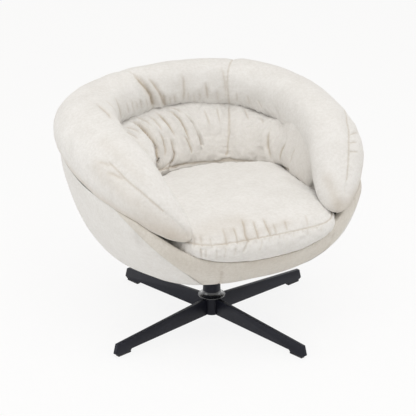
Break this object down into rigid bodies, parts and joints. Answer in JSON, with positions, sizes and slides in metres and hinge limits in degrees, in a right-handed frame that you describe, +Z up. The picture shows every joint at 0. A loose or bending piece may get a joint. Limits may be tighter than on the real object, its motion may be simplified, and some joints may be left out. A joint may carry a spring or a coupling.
{
  "type": "office chair",
  "caption": "Upholstered tub chair with a fat rolled arm and back, a loose seat cushion and a low bowl that turns without stops on a steel base with flat legs.",
  "frame": {"origin": "on the floor, on the swivel axis under the middle of the seat", "axes": "+Z up along the swivel axis, -Y the way the sitter faces, +X to the side at the picture's right"},
  "size_m": [0.8362, 0.7552, 0.6985],
  "materials": {
    "upholstery": "woven, off-white",
    "upholstery_band": "woven, off-white",
    "webbing": "elastic webbing",
    "dust_cloth": "non-woven cloth",
    "shell": "moulded",
    "board": "plywood",
    "black_steel": "satin black powder coat",
    "bright_steel": "bright zinc",
    "gloss_black": "gloss",
    "foot_plastic": "matt",
    "nylon": "plain",
    "cage_brass": "stamped"
  },
  "bodies": {
    "base": {"hub_socket": "black_steel", "hub_bottom_cap": "foot_plastic", "front_left_leg": "black_steel", "front_right_leg": "black_steel", "rear_left_leg": "black_steel", "rear_right_leg": "black_steel", "front_left_foot_pad": "foot_plastic", "front_right_foot_pad": "foot_plastic", "rear_left_foot_pad": "foot_plastic", "rear_right_foot_pad": "foot_plastic", "column_post": "bright_steel", "column_sleeve": "black_steel", "column_collar": "gloss_black", "lower_bushing": "nylon", "upper_bushing": "nylon", "lower_thrust_washer": "bright_steel"},
    "bearing": {"ball_cage": "cage_brass", "bearing_balls": "bright_steel"},
    "seat": {"upper_thrust_washer": "bright_steel", "swivel_spindle": "bright_steel", "spindle_washer": "bright_steel", "retaining_clip": "bright_steel", "mounting_plate": "black_steel", "plate_bolts": "bright_steel", "plate_washers": "bright_steel", "t_nuts": "bright_steel", "bottom_board": "board", "dust_cover": "dust_cloth", "shell_frame": "shell", "shell_cover": "upholstery", "front_band_cover": "upholstery_band", "seat_board": "board", "lengthwise_webbing": "webbing", "crosswise_webbing": "webbing", "seat_cushion": "upholstery", "back_cushion": "upholstery", "arm_back_roll": "upholstery"}
  },
  "joints": [
    {"name": "seat_swivel", "type": "hinge", "parent": "base", "child": "seat", "pos_m": [0, 0, 0.18], "axis": [0, 0, 1], "continuous": true},
    {"name": "cage_roll", "type": "hinge", "parent": "base", "child": "bearing", "pos_m": [0, 0, 0.18], "axis": [0, 0, 1], "continuous": true}
  ],
  "couplings": [
    {"joint": "cage_roll", "follows": "seat_swivel", "ratio": 0.5}
  ]
}
